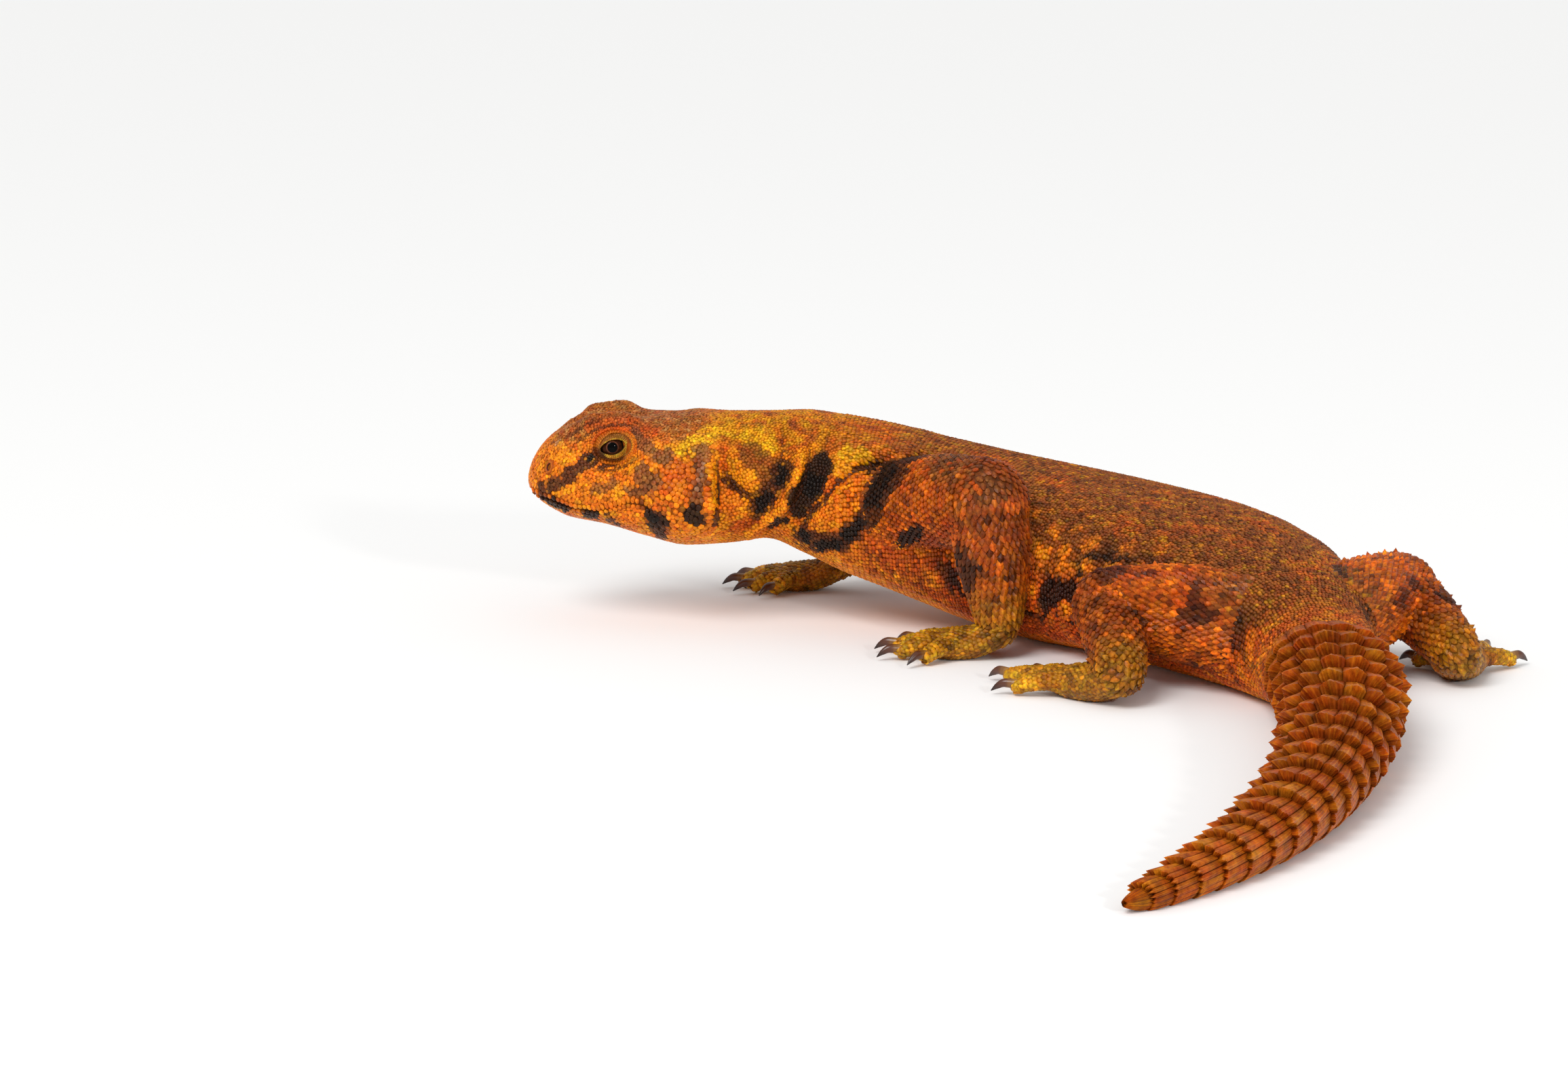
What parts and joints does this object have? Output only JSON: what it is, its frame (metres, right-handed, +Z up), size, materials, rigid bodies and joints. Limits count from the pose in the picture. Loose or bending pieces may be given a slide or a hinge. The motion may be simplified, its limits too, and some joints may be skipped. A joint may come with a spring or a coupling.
{
  "type": "spiny-tailed lizard",
  "caption": "Life-size still model of a spiny-tailed desert lizard, head raised and chest propped on its forelegs, with a curved, whorled, spiny tail.",
  "frame": {"origin": "centre of the bounding box's bottom face, on the floor that the belly, feet and tail rest on", "axes": "+Z up; the head points along -X and the head's left side faces -Y; the trunk and tail curve towards -Y"},
  "size_m": [0.2022, 0.264, 0.0446],
  "materials": {
    "skin_head": "dry, finely scaled skin with a faint sheen",
    "skin_body": "dry, finely scaled skin with a faint sheen",
    "skin_tail": "dry, finely scaled skin with a faint sheen",
    "skin_foot": "dry, finely scaled skin with a faint sheen",
    "eye": "wet, glossy dark eye"
  },
  "bodies": {
    "root": {"head": "skin_head", "eye_left": "eye", "eye_right": "eye", "neck": "skin_body", "chest": "skin_body", "belly": "skin_body", "pelvis": "skin_body", "tail_1": "skin_tail", "tail_2": "skin_tail", "tail_3": "skin_tail", "tail_4": "skin_tail", "tail_5": "skin_tail", "upper_arm_left": "skin_body", "forearm_left": "skin_body", "hand_left": "skin_foot", "thigh_left": "skin_body", "shin_left": "skin_body", "foot_left": "skin_foot", "upper_arm_right": "skin_body", "forearm_right": "skin_body", "hand_right": "skin_foot", "thigh_right": "skin_body", "shin_right": "skin_body", "foot_right": "skin_foot"}
  },
  "joints": []
}
